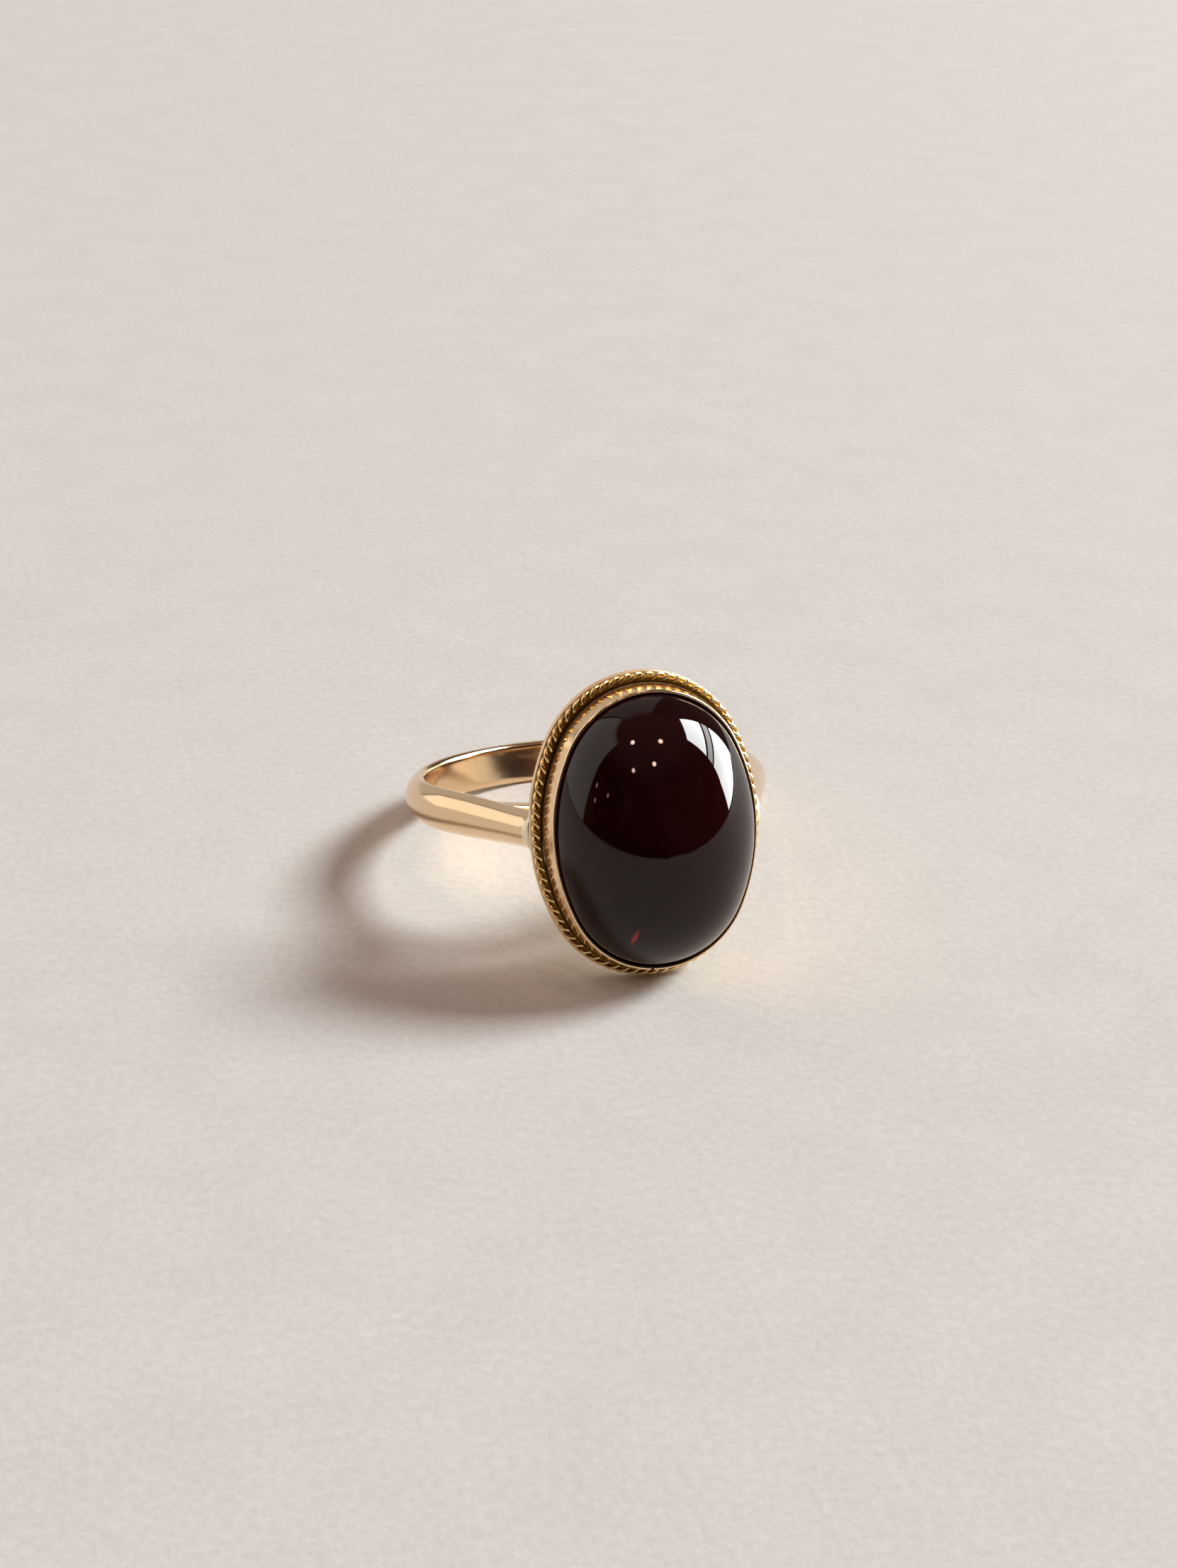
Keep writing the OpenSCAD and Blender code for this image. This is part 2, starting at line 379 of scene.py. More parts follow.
def garnet():
    """Nearly opaque dark red stone with a wet polish and a small inner flash, a painted glint,
    near its foot.
    """
    finish, stone = bpy.context.scene.ring_finish, bpy.context.scene.ring_stone
    m = Finish("garnet")
    p = m.place
    veil = m.noise(p, 150, 4, 0.6, 0.4)
    body = m.mix(m.ease(veil, 0.35, 0.7), finish.garnet,
                 [c * k for c, k in zip(finish.garnet, (1.7, 1.4, 1.4))])
    # painted glint: a bright red streak in the stone's colour where window light flashes inside it
    streak = m.add("ShaderNodeMapping", {"vector_type": "TEXTURE"},
                   {"Vector": p, "Location": [c * MM for c in stone.flash_at],
                    "Rotation": stone.flash_turn, "Scale": [c * MM for c in stone.flash_size]})
    reach = m.vector("LENGTH", streak, out="Value")
    flash = m.ease(reach, 0.15, 1.0, 1.0, 0.0) * m.ease(m.noise(p, 1500, 2), 0.25, 0.6, 0.4, 1.0)
    body = m.mix(flash, body, finish.flash)
    wear = m.noise(p, 260, 5, 0.65)
    film = m.ease(m.noise(p, 520, 6, 0.7), 0.56, 0.75)
    dull = stone.polish + film * 0.02 + m.ease(wear, 0.5, 0.8) * 0.015
    m.set(Base_Color=body, Roughness=dull, IOR=stone.ior,
          Normal=m.bump(m.noise(p, 130, 1), 0.01))
    return m.material


def paper():
    """Matte off-white paper with a soft fibre grain."""
    stage = bpy.context.scene.ring_stage
    m = Finish("paper")
    p = m.place
    mottle = m.noise(p, 200, 5, 0.6)
    fibre = m.noise(p, 2300, 3, 0.6)
    tone = m.ease(mottle, 0.3, 0.7, 0.98, 1.02) * m.ease(fibre, 0.25, 0.75, 0.955, 1.045)
    m.set(Base_Color=m.scaled(stage.paper[:], tone), Roughness=0.92, Specular_IOR_Level=0.25,
          Normal=m.bump(m.noise(p, 2200, 4, 0.6), 0.03))
    return m.material


# Sizes and colours that a user would change


def size_prop(label, default, low, high, about):
    return FloatProperty(name=label, default=default, min=low, max=high, description=about)


def colour_prop(label, default, about):
    return FloatVectorProperty(name=label, default=default, min=0, max=1, size=3,
                               subtype="COLOR", description=about)


class RingShank(bpy.types.PropertyGroup):
    """Sizes of the shank, in millimetres."""

    finger_r: size_prop("Finger radius", 8.6, 7.8, 10.3, "Radius of the finger hole, mm")
    width: size_prop("Width", 2.3, 1.9, 2.8, "Width of the shank along the finger, mm")
    thickness: size_prop("Thickness", 1.08, 0.95, 1.25, "Thickness at the crown, mm")
    edge_r: size_prop("Edge radius", 0.28, 0.2, 0.34, "Radius of the inner edges, mm")
    shoulder: FloatProperty(name="Shoulder angle", default=math.radians(68), subtype="ANGLE",
                            description="Where each shoulder leaves the circle")
    taper: size_prop("Taper", 0.2, 0.1, 0.45, "Width each side loses on the shoulder, mm")
    foot_reach: size_prop("Foot reach", 0.8, 0.5, 1.0, "Reach of the solder foot, mm")
    foot_spread: size_prop("Foot spread", 0.4, 0.2, 0.6, "Spread of the solder foot, mm")
    strip_t: size_prop("Strip thickness", 0.6, 0.5, 0.75, "Thickness of the strip, mm")
    strip_w: size_prop("Strip width", 1.45, 1.0, 1.65, "Width of the strip at its middle, mm")


class RingHead(bpy.types.PropertyGroup):
    """Sizes of the back plate and bezel, in millimetres, and how the ring lies."""

    plate_back: size_prop("Plate distance", 11.1, 10.7, 11.8,
                          "Back of the plate from the hole's axis, mm")
    plate_t: size_prop("Plate thickness", 0.4, 0.3, 0.6, "Thickness of the back plate, mm")
    plate_out: size_prop("Plate reach", 0.76, 0.6, 0.9, "Plate's edge outside the stone, mm")
    wall_t: size_prop("Wall thickness", 0.2, 0.16, 0.28, "Thickness of the bezel wall, mm")
    wall_gap: size_prop("Wall gap", 0.02, 0.01, 0.05, "Gap between wall and stone, mm")
    rim_h: size_prop("Rim height", 2.17, 1.8, 2.4, "Height of the rim over the plate's back, mm")
    lean: size_prop("Lean", 0.15, 0.04, 0.2, "How far the wall leans in up to the rim, mm")
    crown_r: size_prop("Crown radius", 0.095, 0.05, 0.16, "Radius of the rim's round top, mm")
    thin: size_prop("Thin side", 0.23, 0, 0.5, "How much thinner the rim is on the right")
    crowd: size_prop("Crowding", 0.15, 0, 0.2, "How much less the plate reaches there, mm")
    aside: size_prop("Setting aside", 0.01, -0.2, 0.2, "How far the setting sits to the right, mm")
    down: size_prop("Setting down", 0.065, -0.2, 0.2,
                    "How far the setting sits down the plate, mm")
    seam_x: size_prop("Seam place", -0.55, -1.5, 1.5, "Sideways place of the open seam, mm")
    seam_w: size_prop("Seam width", 0.1, 0.06, 0.2, "Width of the open seam, mm")
    lie_tilt: FloatProperty(name="Lying tilt", default=math.radians(18.032998), subtype="ANGLE",
                            description="How far the head tips up from the floor")
    lie_shift: size_prop("Lying shift", 3.687846, 0, 6, "Place of the hole's axis along Y, mm")
    lie_lift: size_prop("Lying lift", 3.847561, 0, 8, "Height of the hole's middle, mm")


class RingWire(bpy.types.PropertyGroup):
    """Sizes of the twisted wire, in millimetres."""

    strand_r: size_prop("Strand radius", 0.115, 0.09, 0.14, "Radius of one strand, mm")
    lay_r: size_prop("Lay radius", 0.112, 0.08, 0.14, "Distance of a strand from the middle, mm")
    spread: size_prop("Spread", 1.25, 1, 1.4, "How much wider than high the twist is")
    # the filling stands for old dirt and solder, and its dark tone is partly painted shade
    fill_r: size_prop("Fill radius", 0.19, 0.05, 0.22, "Radius of the filling between strands, mm")
    fill_in: size_prop("Fill inward", 0.12, 0, 0.15,
                       "How far the filling sits towards the wall, mm")
    fill_shade_tone: size_prop("Fill tone", 0.58, 0, 1, "From dark dirt to golden brown")
    out: size_prop("Distance", 0.49, 0.3, 0.6, "Middle of the wire outside the stone, mm")
    crowd: size_prop("Crowding", 0.13, 0, 0.15, "How much closer in it lies on the right, mm")
    squeeze: size_prop("Squeeze", 0.15, 0, 0.3, "How much thinner it is there")
    height: size_prop("Height", 0.65, 0.5, 0.8, "Middle of the wire over the plate's back, mm")
    step: size_prop("Step", 0.55, 0.46, 0.8, "Distance from one strand's turn to the next, mm")
    uneven: size_prop("Unevenness", 0.35, 0, 1, "How much the twist wanders")
    seed: IntProperty(name="Seed", default=SEED, description="Start of the random wander")


class RingStone(bpy.types.PropertyGroup):
    """Sizes and finish of the cabochon, in millimetres."""

    length: size_prop("Length", 13.8, 12, 15, "Length at the widest line, mm")
    width: size_prop("Width", 10.3, 9.6, 11, "Width at the widest line, mm")
    end_r: size_prop("End radius", 4.64, 4.4, 4.74, "Radius of the two ends, mm")
    dome: size_prop("Dome", 5.0, 3.5, 6, "Height of the dome over the widest line, mm")
    swell: size_prop("Swell", 0.035, 0, 0.1, "How far the dome swells over the outline, mm")
    girdle: size_prop("Girdle", 0.5, 0.4, 0.7, "Height of the widest line over the base, mm")
    base_h: size_prop("Base height", 0.42, 0.3, 0.7,
                      "Height of the base over the plate's back, mm")
    bevel: size_prop("Bevel", 0.2, 0.1, 0.3, "Bevel round the base, mm")
    polish: size_prop("Roughness", 0.03, 0, 0.3, "Roughness of the polished dome")
    ior: size_prop("Refractive index", 1.37, 1.3, 2, "How strongly the dome mirrors")
    # the inner flash is a glint painted into the stone's colour
    flash_at: FloatVectorProperty(name="Flash place", default=(-1.952, -12.374, 4.022), size=3,
                                  description="Middle of the inner red flash, mm")
    flash_turn: FloatVectorProperty(name="Flash turn", default=(0.3365, 0.2954, -0.3077), size=3,
                                    subtype="EULER", description="How the flash leans")
    flash_size: FloatVectorProperty(name="Flash size", default=(0.17, 0.5, 0.85), size=3,
                                    description="Reach of the flash, mm")


class RingFinish(bpy.types.PropertyGroup):
    """Colours of the metal and the stone."""

    gold: colour_prop("Gold", (0.85, 0.62, 0.38), "Polished gold")
    wire: colour_prop("Wire", (0.84, 0.60, 0.26), "Crests of the twisted wire")
    # colour between the strands, with painted shade
    shaded_groove: colour_prop("Groove", (0.42, 0.22, 0.035), "Between the strands")
    solder: colour_prop("Solder", (0.95, 0.83, 0.62), "Pale solder")
    # dark colour of dirt and of painted shade in corners and between the wire's strands
    dirt: colour_prop("Dirt", (0.14, 0.07, 0.022), "Dirt in the corners")
    garnet: colour_prop("Garnet", (0.0092, 0.0013, 0.0014), "Body of the stone")
    # colour of the painted glint
    flash: colour_prop("Flash", (0.42, 0.02, 0.03), "Inner flash of the stone")


class RingStage(bpy.types.PropertyGroup):
    """Camera, floor and light."""

    azimuth: FloatProperty(name="Azimuth", default=math.radians(-16.326879), subtype="ANGLE",
                           description="Camera's direction round the ring")
    elevation: FloatProperty(name="Elevation", default=math.radians(27.961787), subtype="ANGLE",
                             description="Camera's height over the floor")
    roll: FloatProperty(name="Roll", default=math.radians(2.08563), subtype="ANGLE",
                        description="Camera's turn about its own axis")
    distance: size_prop("Distance", 133.5394, 50, 500, "Camera from the aim point, mm")
    aim: FloatVectorProperty(name="Aim", default=(0.158, 3.674, 3.907), size=3,
                             description="Point that the camera looks at, mm")
    lens: size_prop("Lens", 56.962, 20, 200, "Focal length of the camera, mm")
    paper: colour_prop("Paper", (0.79, 0.79, 0.785), "Colour of the floor")
    window_power: size_prop("Window light", 34.0, 0, 99,
                            "How strongly the window lights the floor")
    window_tint: colour_prop("Window tint", (0.94, 0.965, 0.946), "Colour of the window's light")
    window_shine: size_prop("Window shine", 29, 0, 99,
                            "How bright the window looks in reflections")
    room: size_prop("Room", 1.0, 0, 10, "Brightness of the room in reflections")
    room_share: colour_prop("Room light", (0.44, 0.385, 0.325),
                            "Share of it that lights the floor")


# Pieces


class RING_OT_shank(bpy.types.Operator):
    """Make the shank with its straight shoulders and solder feet, and the strip behind the head"""

    bl_idname = "ring.shank"
    bl_label = "Make Shank"

    def execute(self, context):
        s, head = context.scene.ring_shank, context.scene.ring_head
        section, edge_y = d_outline(s)
        gold = polished_gold("polished_gold", 0.13)
        self.band(s, head, section, gold)
        self.strip(s, edge_y, gold)
        return {"FINISHED"}

    def band(self, s, head, section, gold):
        up, wide, face = section.T
        sunk, solder_reach = 0.15, 0.6  # into the plate, and up the shoulder from it
        k_end = 1 - s.taper / (s.width / 2)
        reach = (head.plate_back + sunk - (s.finger_r + up) * math.cos(s.shoulder))
        reach = reach / math.sin(s.shoulder)
        rings, solder = [], []
        foot_from = 0.8  # from this share of the shoulder on, the rings lie closer
        share = np.concatenate([np.linspace(0, foot_from, 22)[1:],
                                foot_from + (1 - foot_from) * np.linspace(0, 1, 22)[1:]])
        round_part = np.linspace(s.shoulder, 2 * math.pi - s.shoulder, 221)

        def shoulder_ring(u, flip):
            run = reach * u
            near = (reach - run) * math.sin(s.shoulder) - sunk
            narrow = 1 - (1 - k_end) * ease(u * 1.02) ** 0.9
            lean = np.clip(1 - near / s.foot_reach, 0, 1)
            flare = s.foot_spread * (1 - np.sqrt(1 - lean**2))
            side = np.abs(np.sin(face))
            # the foot spreads to the sides more than outwards or inwards
            weight = side + (1 - side) * np.where(np.cos(face) > 0, 0.18, 0.5)
            h = up + flare * weight * np.cos(face)
            w = wide * narrow + flare * weight * np.sin(face)
            n = np.array([math.sin(s.shoulder), -math.cos(s.shoulder)])
            t = np.array([-math.cos(s.shoulder), -math.sin(s.shoulder)])
            x = n[0] * (s.finger_r + h) + t[0] * run
            y = n[1] * (s.finger_r + h) + t[1] * run
            mark = ease(1.2 - near / solder_reach)
            return np.stack([flip * x, y, w], 1), mark

        for u in share[::-1]:
            ring, mark = shoulder_ring(u, 1)
            rings.append(ring)
            solder.append(mark)
        for a in round_part:
            r = s.finger_r + up
            rings.append(np.stack([r * math.sin(a), -r * math.cos(a), wide], 1))
            solder.append(np.zeros(len(up)))
        for u in share:
            ring, mark = shoulder_ring(u, -1)
            rings.append(ring)
            solder.append(mark)
        points = np.concatenate(rings)
        faces = facing_out(points, tube_faces(len(rings), len(up), False))
        new_piece("shank_band", points, faces, rest_matrix(), gold,
                  {"solder": np.concatenate(solder)})

    def strip(self, s, edge_y, gold):
        half, corner, sunk = edge_y - 0.03, 0.09, 0.005
        end = math.radians(75)
        rings = []
        for a in np.linspace(-end, end, 101):
            w = np.interp(abs(a), [0, s.shoulder], [s.strip_w / 2, half])
            ring = []
            for cx, cy, start in ((s.strip_t, w, 0), (0, w, 90),
                                  (0, -w, 180), (s.strip_t, -w, 270)):
                mx = cx - corner if cx > 0 else corner
                my = cy - math.copysign(corner, cy)
                for v in range(0, 91, 30):
                    t = math.radians(start + v)
                    ring.append((mx + corner * math.cos(t), my + corner * math.sin(t)))
            ring = np.array(ring)
            r = s.finger_r + sunk + ring[:, 0]
            rings.append(np.stack([r * math.sin(a), -r * math.cos(a), ring[:, 1]], 1))
        points = np.concatenate(rings)
        faces = facing_out(points, tube_faces(len(rings), len(rings[0]), False))
        new_piece("finger_strip", points, faces, rest_matrix(), gold)


class RING_OT_head(bpy.types.Operator):
    """Make the back plate, the bezel with its burnished rim and open seam, and run solder"""

    bl_idname = "ring.head"
    bl_label = "Make Head"

    def execute(self, context):
        scene = context.scene
        head, stone = scene.ring_head, scene.ring_stone
        oval = Oval(stone)
        self.plate(head, oval)
        bezel = self.bezel(head, oval, stone)
        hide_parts("shank_and_bezel")
        self.run_solder(oval)
        return {"FINISHED"}

    def plate(self, head, oval):
        edge, uneven = 0.1, Wobble(1)
        top = head.plate_t
        corner = [(head.plate_out - edge + edge * math.cos(math.radians(v)),
                   (edge if v < 0 else top - edge) + edge * math.sin(math.radians(v)))
                  for v in (-90, -67, -45, -22, 0, 0.01, 22, 45, 67, 90)]
        flat = [(-4.2, 0.0), (-2.5, 0.0), (0.0, 0.0), (0.4, 0.0)]  # from the middle out
        profile = flat + corner + [(o, top) for o, _ in flat[::-1]]

        def shape(angles):
            edge_in = 0.008 * uneven(angles) - head.crowd * crowding(angles)
            out = [np.full(len(angles), o) + (edge_in if o > flat[-1][0] else 0)
                   for o, _ in profile]
            height = [np.full(len(angles), h) for _, h in profile]
            return out, height

        angles, _ = oval.even_angles(360, 0)
        grid = round_oval(oval, angles, shape)
        columns, sides = grid.shape[:2]
        faces = []
        for i in range(columns):
            a, b = i * sides, (i + 1) % columns * sides
            faces += [(a + j, b + j, b + j + 1, a + j + 1) for j in range(sides - 1)]
        faces.append(tuple(i * sides for i in range(columns))[::-1])
        faces.append(tuple(i * sides + sides - 1 for i in range(columns)))
        sideways = np.abs(np.cos(np.repeat(angles, sides)))
        near_foot = ease((sideways - 0.988) / 0.01)
        out = np.tile([o for o, _ in profile], columns)
        solder = near_foot * ease((out - 0.2) / 0.3)
        points = grid.reshape(-1, 3)
        new_piece("back_plate", points, facing_out(points, faces), head_matrix(),
                  polished_gold("plate_gold", 0.4), {"solder": solder * 0.9})

    def bezel(self, head, oval, stone):
        inner, outer, top = head.wall_gap, head.wall_gap + head.wall_t, head.rim_h
        rim, wall, low = Wobble(2), Wobble(3), Wobble(4, (7, 11, 17, 23))
        widest = stone.base_h + stone.girdle

        def on_dome(height, gap):
            """How far outside the outline the dome and a gap are at a height."""
            share = np.clip((height - widest) / stone.dome, 0, 1)
            return gap + stone.swell - oval.half_w * (1 - math.sqrt(1 - share**2))

        # from the wall's foot up its convex outside, over the half-round crown, down the dome
        crown_r = head.crown_r
        crown_o, crown_h = outer - head.lean - crown_r, top - crown_r
        foot_h, belly_h, belly = 0.36, 0.86, 0.045
        outside = [(outer + belly * float(ease((h - foot_h) / (belly_h - foot_h)))
                    - (head.lean + belly) * max(0, (h - belly_h) / (crown_h - belly_h)) ** 1.1, h)
                   for h in np.linspace(foot_h, crown_h, 13)]
        crown = [(crown_o + crown_r * math.cos(v), crown_h + crown_r * math.sin(v))
                 for v in np.radians([12, 25, 38, 52, 66, 80, 95, 110, 125, 138, 150])]
        inside = [(on_dome(h, 0.04), h) for h in (1.95, 1.75, 1.5, 1.2)]
        inside += [(inner, h) for h in (0.9, foot_h)]
        profile = outside + crown + inside
        first_crown, lip = len(outside), crown[-1][0]
        past_top, gap_shade_from = first_crown + 7, first_crown + 9
        foot_shade_h, foot_shade_fade = 0.98, 0.22  # how high the dirt and painted shade at the wall's foot reach, and their fading
        seam_foot, seam_drop = 1.6, 0.33

        def seam(angles, half_width):
            """1 in the open seam at the foot of the head, 0 beside it."""
            x, y = oval.points(angles, 0.1)
            return np.exp(-(((x - head.seam_x) / half_width) ** 4)) * (y < 0)

        def shape(angles):
            notch = seam(angles, head.seam_w * 0.5)
            out, height = [], []
            for j, (o, h) in enumerate(profile):
                share = np.clip((h - 0.5) / (top - 0.5), 0, 1)
                sway = 0.008 * rim(angles) if j < past_top else 0.004 * rim(angles)
                thin = (o - lip) * head.thin * share * crowding(angles)
                out.append(o - thin + share * (sway + 0.003 * wall(angles)))
                drop = seam_drop * notch * np.clip((h - seam_foot) / (top - seam_foot), 0, 1)
                sag = share**2 * (0.012 * rim(angles + 1) + 0.006 * low(angles))
                height.append(h + sag - drop)
            return out, height

        angles = self.angles_round_seam(oval, head)
        grid = round_oval(oval, angles, shape)
        columns, sides = grid.shape[:2]
        points = grid.reshape(-1, 3)
        faces = facing_out(points, tube_faces(columns, sides, True))
        dirt = np.zeros((columns, sides))
        dirt[:, gap_shade_from:] = 1.0  # dirt and painted shade in the gap, from the crown's inner side down to the stone
        foot = np.array([1 - float(ease((h - foot_shade_h) / foot_shade_fade)) for _, h in outside])
        # dirt and painted shade at the wall's foot by the wire, darkest on the left and lower
        # left, the side away from the window
        shaded = 0.62 + 0.38 * ease(0.3 + np.cos(angles - math.radians(205)))
        dirt[:, :first_crown] = shaded[:, None] * foot[None, :]
        # dirt and painted shade in and beside the open seam, high on the wall
        high = np.array([h for _, h in profile]) > seam_foot + 0.1
        dirt = np.maximum(dirt, seam(angles, head.seam_w * 0.75)[:, None] * high[None, :])
        # painted light: the bezel's gold is a copy of the shank's made 1.08 times lighter
        return new_piece("bezel", points, faces, setting_matrix(),
                         polished_gold("bezel_gold", 0.15, 1.08), {"dirt": dirt.ravel()})

    def angles_round_seam(self, oval, head):
        """Even steps round the oval, with finer ones at the seam."""
        angles, _ = oval.even_angles(560, 0)
        seam_at = 1.5 * math.pi + head.seam_x / (oval.end_r + 0.1)
        fine = seam_at + np.linspace(-0.03, 0.03, 31)
        return np.sort(np.concatenate([angles[np.abs(angles - seam_at) > 0.032], fine]))

    def run_solder(self, oval):
        """Solder that has run up between the wire and the wall beside each shoulder."""
        gold = polished_gold("run_solder_gold", 0.22)
        count, sides = 120, 12
        middle_out, middle_h = 0.225, 0.5
        for side, start, end, seed in (("left", 177.5, 190.5, 5), ("right", -8, 4, 6)):
            uneven = Wobble(seed, (29, 53, 87, 131, 171))
            rings = []
            for a, u in zip(np.radians(np.linspace(start, end, count)), np.linspace(-1, 1, count)):
                full = ease((1 - abs(u)) / 0.5) * (0.8 + 0.16 * uneven(a))
                wide, high = 0.05 + 0.13 * full, 0.1 + 0.3 * full
                ring = []
                for v in np.linspace(0, 2 * math.pi, sides, endpoint=False):
                    x, y = oval.points(a, middle_out + wide * math.cos(v))
                    ring.append((float(x), float(y), middle_h + high * math.sin(v)))
                rings.append(ring)
            points = np.array(rings).reshape(-1, 3)
            faces = facing_out(points, tube_faces(count, sides, False))
            new_piece("run_solder_" + side, points, faces, setting_matrix(), gold,
                      {"solder": np.ones(len(points))})


class RING_OT_wire(bpy.types.Operator):
    """Twist two strands into a wire and lay it round the foot of the bezel"""

    bl_idname = "ring.wire"
    bl_label = "Make Twisted Wire"

    def execute(self, context):
        wire, oval = context.scene.ring_wire, Oval(context.scene.ring_stone)
        angles, length = oval.even_angles(400, wire.out)
        x, y = oval.points(angles, wire.out - wire.crowd * crowding(angles))
        squeezed = 1 - wire.squeeze * crowding(angles)
        # the one strand goes round twice, half a turn further on the second time, so the
        # number of turns over both rounds is odd
        odd_turns = 2 * round(length / wire.step / 2 - 0.5) + 1
        path = bpy.data.curves.new("wire_path", "CURVE")
        path.dimensions = "3D"
        spline = path.splines.new("POLY")
        spline.points.add(2 * len(x) - 1)
        spline.use_cyclic_u = True
        for i, point in enumerate(spline.points):
            j = i % len(x)
            point.co = (x[j], y[j], wire.height, 1)
            point.radius = squeezed[j]
        holder = bpy.data.objects.new("wire_path", path)
        context.collection.objects.link(holder)
        tree = self.twist_tree()
        twist = holder.modifiers.new("twist", "NODES")
        twist.node_group = tree
        values = {"Strand radius": wire.strand_r, "Lay radius": wire.lay_r,
                  "Spread": wire.spread, "Fill radius": wire.fill_r,
                  "Fill inward": wire.fill_in, "Fill tone": wire.fill_shade_tone,
                  "Turns": odd_turns, "Rings": 1600, "Sides": 12,
                  "Unevenness": wire.uneven, "Seed": wire.seed, "Finish": wire_gold()}
        for item in tree.interface.items_tree:
            if item.name in values:
                twist[item.identifier] = values[item.name]
        context.view_layer.update()
        shown = holder.evaluated_get(context.evaluated_depsgraph_get())
        mesh = bpy.data.meshes.new_from_object(shown, preserve_all_data_layers=True,
                                               depsgraph=context.evaluated_depsgraph_get())
        mesh.name = "twisted_wire_strands"
        mesh.transform(head_matrix())
        bpy.data.objects.remove(holder)
        piece = bpy.data.objects.new("twisted_wire_strands", mesh)
        context.collection.objects.link(piece)
        finish_piece(piece)
        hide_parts("twisted_wire")
        return {"FINISHED"}

    def twist_tree(self):
        tree = bpy.data.node_groups.new("twist_wire", "GeometryNodeTree")
        face = tree.interface
        face.new_socket("Geometry", in_out="INPUT", socket_type="NodeSocketGeometry")
        for name, kind in (("Strand radius", "Float"), ("Lay radius", "Float"),
                           ("Spread", "Float"), ("Fill radius", "Float"),
                           ("Fill inward", "Float"), ("Fill tone", "Float"), ("Turns", "Int"),
                           ("Rings", "Int"), ("Sides", "Int"), ("Unevenness", "Float"),
                           ("Seed", "Int"), ("Finish", "Material")):
            face.new_socket(name, in_out="INPUT", socket_type="NodeSocket" + kind)
        face.new_socket("Geometry", in_out="OUTPUT", socket_type="NodeSocketGeometry")
        n = Nodes(tree)
        given = tree.nodes.new("NodeGroupInput")
        read = {s.name: Link(n, s) for s in given.outputs if s.name}
        line = n.add("GeometryNodeResampleCurve", None,
                     {"Curve": read["Geometry"], "Count": read["Rings"]})
        middle = n.add("GeometryNodeInputPosition")
        kept = n.add("GeometryNodeStoreNamedAttribute", {"data_type": "FLOAT_VECTOR"},
                     {"Geometry": line, "Name": "middle", "Value": middle})
        factor = n.add("GeometryNodeSplineParameter", out="Factor")
        wander = n.add("ShaderNodeTexNoise", {"noise_dimensions": "4D"},
                       {"Vector": middle, "W": read["Seed"] * 3.7, "Scale": 0.45, "Detail": 2.0})
        turn = factor * read["Turns"] * (2 * math.pi) + (wander - 0.5) * read["Unevenness"] * 4
        out = n.vector("CROSS_PRODUCT", n.add("GeometryNodeInputTangent"), (0, 0, 1))
        sideways = n.maths("COSINE", turn) * read["Spread"] * n.add("GeometryNodeInputRadius")
        rise = n.add("ShaderNodeCombineXYZ", None, {"Z": n.maths("SINE", turn)})
        off = n.scaled(n.vector("ADD", n.scaled(out, sideways), rise), read["Lay radius"])
        laid = n.add("GeometryNodeSetPosition", None, {"Geometry": kept, "Offset": off})
        outline = n.add("GeometryNodeCurvePrimitiveCircle", None,
                        {"Resolution": read["Sides"], "Radius": read["Strand radius"]})
        strand = n.add("GeometryNodeCurveToMesh", None, {"Curve": laid, "Profile Curve": outline})
        # old dirt and solder fill the wire's middle; their dark colour is partly painted shade
        # between the strands
        filling = n.add("GeometryNodeCurvePrimitiveCircle", None,
                        {"Resolution": read["Sides"], "Radius": read["Fill radius"]})
        moved = n.add("GeometryNodeSetPosition", None,
                      {"Geometry": kept, "Offset": n.scaled(out, -read["Fill inward"])})
        core = n.add("GeometryNodeCurveToMesh", None, {"Curve": moved, "Profile Curve": filling})
        core = n.add("GeometryNodeStoreNamedAttribute", {"data_type": "FLOAT"},
                     {"Geometry": core, "Name": "crest", "Value": read["Fill tone"]})
        centre = n.add("GeometryNodeInputNamedAttribute", {"data_type": "FLOAT_VECTOR"},
                       {"Name": "middle"})
        reach = n.vector("DISTANCE", n.add("GeometryNodeInputPosition"), centre, out="Value")
        # how far out from the wire's middle; low values get the painted shade between the strands
        crest = reach / (read["Strand radius"] + read["Lay radius"])
        marked = n.add("GeometryNodeStoreNamedAttribute", {"data_type": "FLOAT"},
                       {"Geometry": strand, "Name": "crest", "Value": crest})
        both = n.add("GeometryNodeJoinGeometry")
        for part in (marked, core):
            tree.links.new(part.socket, both.socket.node.inputs["Geometry"])
        smooth = n.add("GeometryNodeSetShadeSmooth", None, {"Geometry": both})
        real = n.add("GeometryNodeRealizeInstances", None, {"Geometry": smooth})
        done = n.add("GeometryNodeSetMaterial", None,
                     {"Geometry": real, "Material": read["Finish"]})
        result = tree.nodes.new("NodeGroupOutput")
        tree.links.new(done.socket, result.inputs["Geometry"])
        return tree


